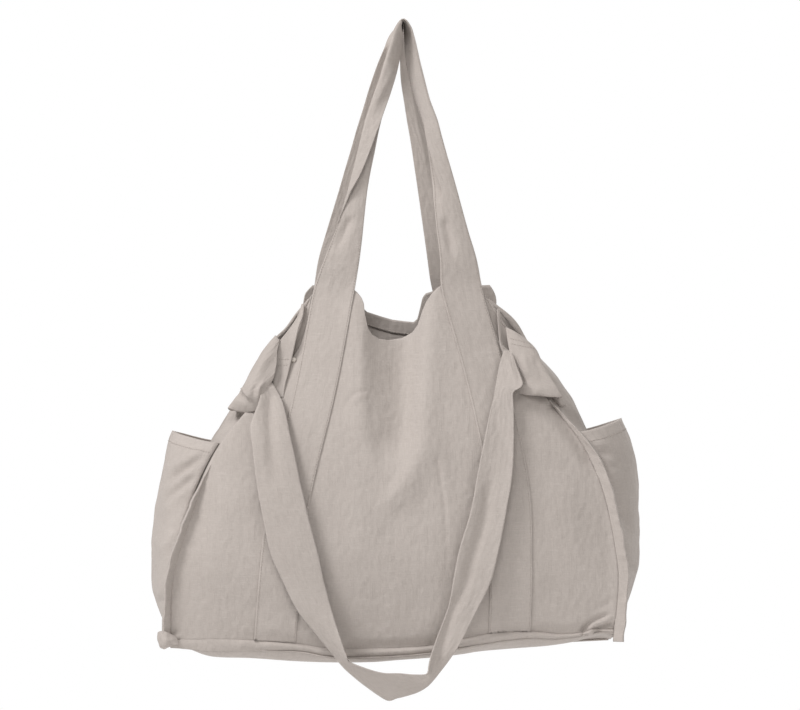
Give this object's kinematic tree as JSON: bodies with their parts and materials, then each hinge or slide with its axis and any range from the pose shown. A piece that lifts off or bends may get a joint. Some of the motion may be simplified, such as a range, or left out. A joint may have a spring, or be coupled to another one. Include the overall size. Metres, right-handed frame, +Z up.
{
  "type": "shoulder tote bag",
  "caption": "Large soft linen shoulder tote with a drooping open top, handles sewn down both faces, flared side pockets, raised seam flanges and a long strap, shaped as it hangs from a hook.",
  "frame": {"origin": "the hook point, under the crown of the two handles", "axes": "+Z up, +X to the right seen from the front, -Y towards the front"},
  "size_m": [0.5867, 0.2266, 0.8095],
  "materials": {
    "linen": "matt washed linen canvas, warm grey beige",
    "stud": "satin cream resin"
  },
  "bodies": {
    "bag": {"front_panel": "linen", "back_panel": "linen", "left_gusset": "linen", "right_gusset": "linen", "base_panel": "linen", "left_side_pocket": "linen", "right_side_pocket": "linen", "front_left_handle_band": "linen", "front_right_handle_band": "linen", "back_left_handle_band": "linen", "back_right_handle_band": "linen", "front_left_seam_flange": "linen", "front_right_seam_flange": "linen", "back_left_seam_flange": "linen", "back_right_seam_flange": "linen", "front_base_flange": "linen", "back_base_flange": "linen", "front_top_facing": "linen", "back_top_facing": "linen", "left_strap_end": "linen", "right_strap_end": "linen", "front_left_press_stud": "stud", "front_right_press_stud": "stud", "back_left_press_stud": "stud", "back_right_press_stud": "stud"},
    "front_handle": {"front_handle": "linen"},
    "back_handle": {"back_handle": "linen"},
    "shoulder_strap": {"shoulder_strap": "linen"}
  },
  "joints": [
    {"name": "front_handle_drop", "type": "hinge", "parent": "bag", "child": "front_handle", "pos_m": [-0.0066, -0.0366, -0.3196], "axis": [1, 0, 0], "range_deg": [0, 150]},
    {"name": "back_handle_drop", "type": "hinge", "parent": "bag", "child": "back_handle", "pos_m": [-0.0066, 0.0366, -0.3196], "axis": [-1, 0, 0], "range_deg": [0, 150]},
    {"name": "shoulder_strap_lift", "type": "hinge", "parent": "bag", "child": "shoulder_strap", "pos_m": [-0.15948, -0.05044, -0.43], "axis": [-0.9987, -0.0099, -0.0495], "range_deg": [0, 140]}
  ]
}
